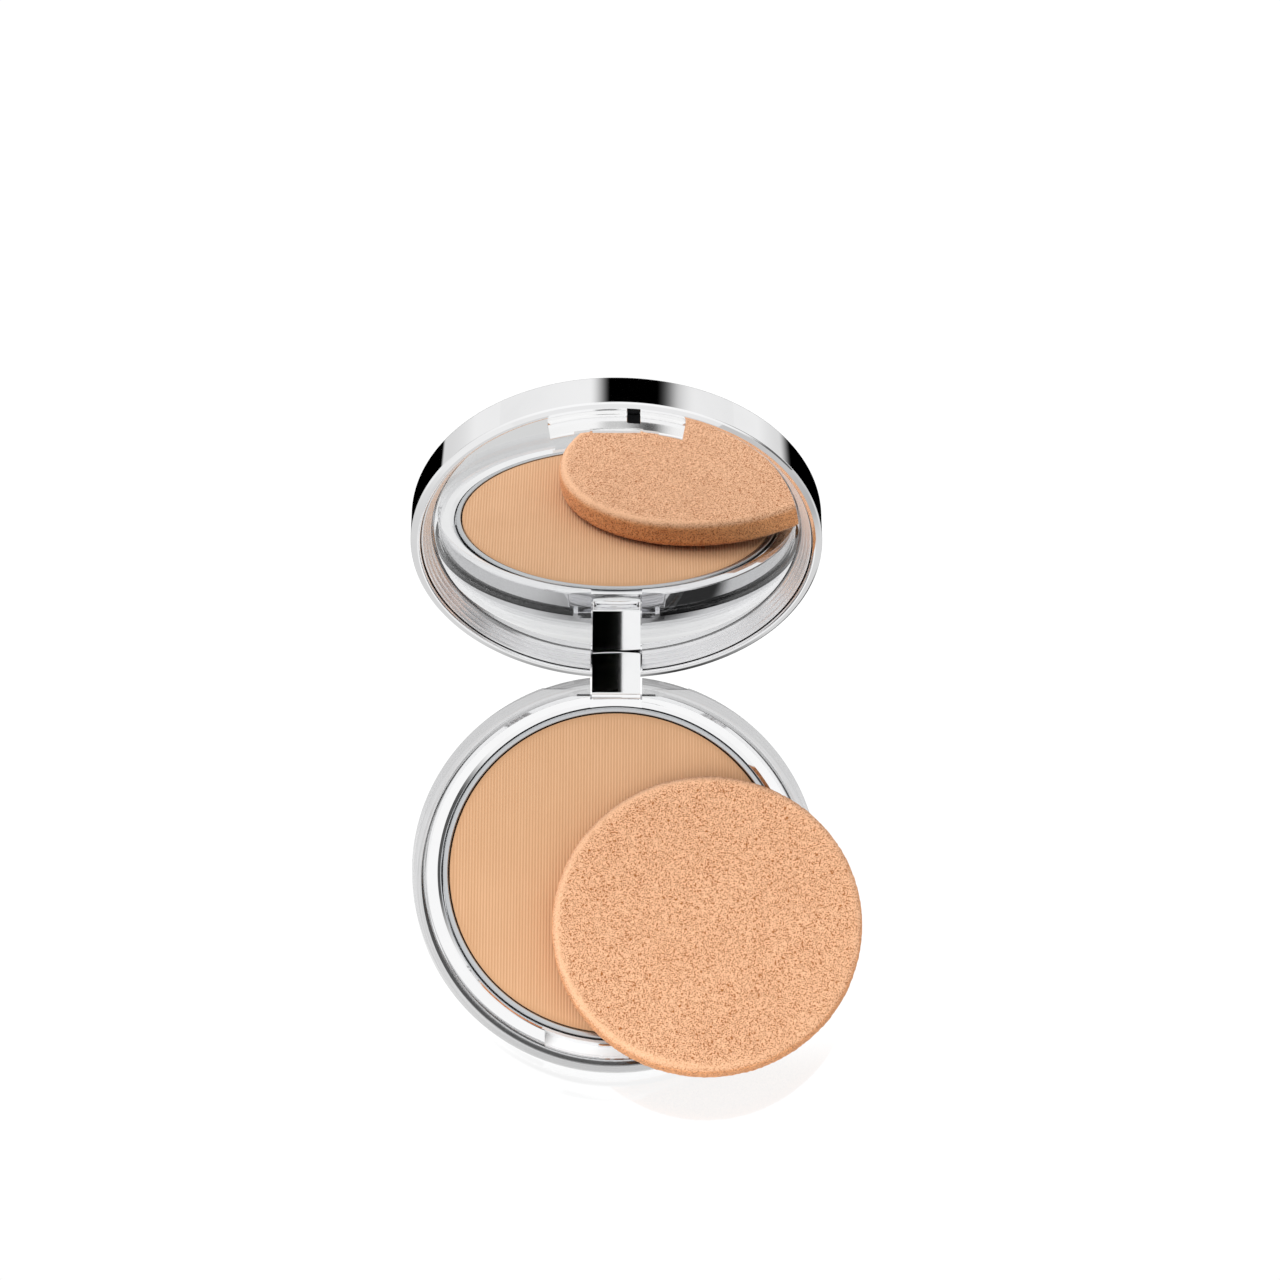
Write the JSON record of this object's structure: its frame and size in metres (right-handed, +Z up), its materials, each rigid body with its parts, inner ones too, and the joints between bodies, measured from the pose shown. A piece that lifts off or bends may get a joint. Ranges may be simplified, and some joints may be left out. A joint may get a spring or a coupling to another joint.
{
  "type": "powder compact",
  "caption": "Round clear and chromed powder compact, open, with a mirror lid, ribbed pressed powder and a loose round foam sponge.",
  "frame": {"origin": "middle of the base's underside, on the surface it stands on", "axes": "+Z up, +Y towards the hinge, -Y towards the latch, +X to the right as seen from the latch side"},
  "size_m": [0.0818, 0.113, 0.0717],
  "materials": {
    "clear_acrylic": "clear, polished",
    "chromed_tray": "polished, metallised",
    "chromed_plastic": "polished, metallised",
    "pan_metal": "satin",
    "pressed_powder": "matte pressed powder, finely ribbed",
    "adhesive": "matte foam tape",
    "pin_steel": "satin, ground",
    "label": "satin blank film",
    "mirror_glass": "polished silvered glass",
    "dark_pad": "satin",
    "foam": "matte open-cell foam"
  },
  "bodies": {
    "base": {"base_shell": "clear_acrylic", "base_liner": "chromed_tray", "powder_pan": "pan_metal", "powder_cake": "pressed_powder", "pan_adhesive": "adhesive", "catch_nib": "chromed_tray", "hinge_pin": "pin_steel", "base_label": "label"},
    "lid": {"lid_shell": "chromed_plastic", "mirror_frame": "chromed_tray", "mirror": "mirror_glass", "mirror_adhesive": "adhesive", "latch_plate": "chromed_plastic", "latch_pad": "dark_pad"},
    "sponge": {"sponge": "foam"}
  },
  "joints": [
    {"name": "lid_hinge", "type": "hinge", "parent": "base", "child": "lid", "pos_m": [0, 0.03471, 0.00746], "axis": [1, 0, 0], "range_deg": [0, 111.74]},
    {"name": "sponge_flip", "type": "hinge", "parent": "base", "child": "sponge", "pos_m": [0.0407, -0.02829, 0.01029], "axis": [0.5707, 0.8211, 0], "range_deg": [0, 183.4]}
  ],
  "couplings": [
    {"joint": "sponge_flip", "follows": "lid_hinge", "ratio": 1.6413}
  ]
}
